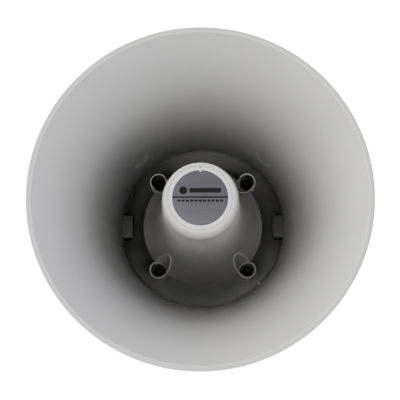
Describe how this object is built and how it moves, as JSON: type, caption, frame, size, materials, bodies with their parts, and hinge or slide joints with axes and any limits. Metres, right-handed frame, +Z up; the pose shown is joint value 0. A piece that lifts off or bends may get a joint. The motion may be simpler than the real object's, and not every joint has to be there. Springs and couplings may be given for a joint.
{
  "type": "horn loudspeaker",
  "caption": "Round re-entrant horn loudspeaker with a light grey moulded bell, a central closed reflector, a rear driver housing and a U bracket it tilts in.",
  "frame": {"origin": "centre of the middle bolt hole of the bracket's base, on the face that lies on the wall", "axes": "+Y into the wall, mouth faces -Y with the bracket straight, +X along the bracket's base, +Z up"},
  "size_m": [0.285, 0.29, 0.285],
  "materials": {
    "bell_abs": "moulded, light grey, fine satin",
    "reflector_abs": "moulded, light grey, fine satin",
    "pan_abs": "moulded, light grey",
    "cap_abs": "moulded, light grey",
    "cover_abs": "moulded, light grey, spark texture",
    "nameplate_foil": "satin anodised, violet grey",
    "label_film": "blank silver film",
    "gasket_rubber": "dull black",
    "screw_steel": "zinc plated",
    "screw_black": "black oxide",
    "bolt_steel": "stainless, turned",
    "bracket_steel": "light grey powder coat",
    "insert_brass": "knurled",
    "driver_alloy": "as cast",
    "dome_metal": "thin formed foil",
    "amber_film": "clear film",
    "copper_wire": "enamelled copper",
    "plated_steel": "yellow zinc",
    "ferrite": "sintered, dull",
    "laminated_iron": "varnished laminations",
    "winding_tape": "wrapped tape",
    "black_moulding": "moulded black",
    "knob_moulding": "moulded black",
    "gland_nylon": "moulded nylon",
    "terminal_moulding": "moulded, off white"
  },
  "bodies": {
    "bracket": {"bracket": "bracket_steel"},
    "horn": {"bell": "bell_abs", "bell_gasket": "gasket_rubber", "throat_pan": "pan_abs", "cover_gasket": "gasket_rubber", "reflector": "reflector_abs", "reflector_cap": "cap_abs", "nameplate": "nameplate_foil", "throat_tube": "pan_abs", "driver_throat_plate": "driver_alloy", "phase_plug": "black_moulding", "diaphragm_surround": "amber_film", "diaphragm_ring": "black_moulding", "top_plate": "plated_steel", "magnet": "ferrite", "yoke": "plated_steel", "driver_bolts": "screw_steel", "throat_screws": "screw_steel", "rear_cover": "cover_abs", "cover_inserts": "insert_brass", "rating_label": "label_film", "selector_body": "black_moulding", "gland_body": "gland_nylon", "gland_seal": "gasket_rubber", "gland_cap": "gland_nylon", "gland_nut": "gland_nylon", "transformer_core": "laminated_iron", "transformer_winding": "winding_tape", "transformer_bracket": "plated_steel", "transformer_screws": "screw_steel", "terminal_block": "terminal_moulding", "terminal_screws": "insert_brass", "reflector_screws": "screw_black", "tower_screws": "screw_steel", "pivot_bolts": "bolt_steel", "pivot_lock_washers": "bolt_steel", "pivot_washers": "bolt_steel", "pivot_spacers": "gasket_rubber", "pivot_inserts": "insert_brass"},
    "selector": {"selector_knob": "knob_moulding"},
    "diaphragm": {"diaphragm_dome": "dome_metal", "voice_coil": "copper_wire"}
  },
  "joints": [
    {"name": "tilt", "type": "hinge", "parent": "bracket", "child": "horn", "pos_m": [0, -0.118, 0], "axis": [1, 0, 0], "range_deg": [-80, 80]},
    {"name": "tap_select", "type": "hinge", "parent": "horn", "child": "selector", "pos_m": [0, -0.016, 0.03], "axis": [0, 1, 0], "range_deg": [0, 150]},
    {"name": "diaphragm_travel", "type": "slide", "parent": "horn", "child": "diaphragm", "axis": [0, 1, 0], "range_m": [-0.0004, 0.0004], "stiffness_N_per_m": 2500}
  ]
}
